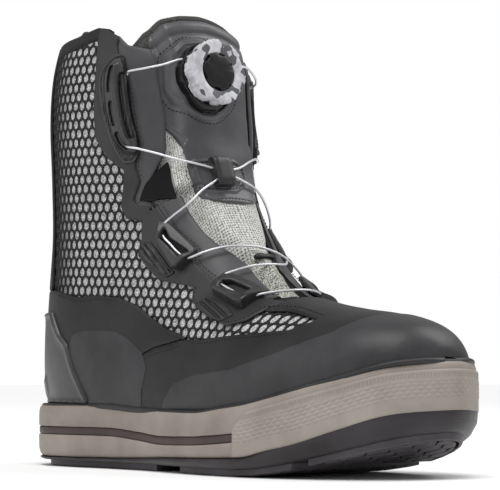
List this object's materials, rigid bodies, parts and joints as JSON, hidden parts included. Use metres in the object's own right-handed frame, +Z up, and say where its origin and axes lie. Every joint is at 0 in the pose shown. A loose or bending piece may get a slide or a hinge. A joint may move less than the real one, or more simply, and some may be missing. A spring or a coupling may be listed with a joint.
{
  "type": "wading boot",
  "caption": "Ankle-high wading boot with a hollow honeycomb upper, cable lacing on a tongue dial, and a cup sole with a lugged rubber outsole.",
  "frame": {"origin": "on the floor under the middle of the heel, on the flat face of a heel lug", "axes": "+Z up, +Y to the toe, +X to the outer side of the right foot"},
  "size_m": [0.1163, 0.3171, 0.2621],
  "materials": {
    "outsole_rubber": "matt black moulded rubber",
    "midsole_rubber": "matt taupe moulded foam rubber",
    "stripe_rubber": "satin dark brown rubber",
    "guard_rubber": "matt taupe rubber with a raised diamond relief",
    "welt_rubber": "satin black rubber",
    "insole_fabric": "knitted foam footbed",
    "upper_synthetic": "matt coated textile",
    "honeycomb_film": "moulded open hexagon film",
    "overlay_synthetic": "fine grained matt synthetic",
    "toe_film": "smooth satin moulded film",
    "heel_plastic": "satin moulded plastic",
    "tongue_textile": "flecked grey woven textile",
    "tongue_synthetic": "smooth satin synthetic",
    "dial_grip": "matt grey moulded grip",
    "dial_plastic": "satin black plastic",
    "guide_plastic": "satin black plastic",
    "webbing": "woven webbing",
    "lace_steel": "coated stranded steel"
  },
  "bodies": {
    "root": {"outsole": "outsole_rubber", "midsole": "midsole_rubber", "sidewall_stripe": "stripe_rubber", "toe_guard": "guard_rubber", "welt": "welt_rubber", "insole": "insole_fabric", "upper": "upper_synthetic", "honeycomb_skin_outer": "honeycomb_film", "honeycomb_skin_inner": "honeycomb_film", "eyestay_outer": "overlay_synthetic", "eyestay_inner": "overlay_synthetic", "heel_counter": "overlay_synthetic", "vamp": "overlay_synthetic", "back_panel": "overlay_synthetic", "toe_cap": "toe_film", "heel_clip": "heel_plastic", "tongue": "tongue_textile", "tongue_panel": "tongue_synthetic", "dial_knob": "dial_grip", "dial_cap": "dial_plastic", "dial_base": "dial_plastic", "top_guide_outer": "guide_plastic", "mid_guide_outer": "guide_plastic", "low_guide_outer": "guide_plastic", "top_guide_inner": "guide_plastic", "mid_guide_inner": "guide_plastic", "low_guide_inner": "guide_plastic", "tongue_guide": "guide_plastic", "webbing_tab": "webbing", "lace": "lace_steel", "pull_loop": "webbing"}
  },
  "joints": []
}
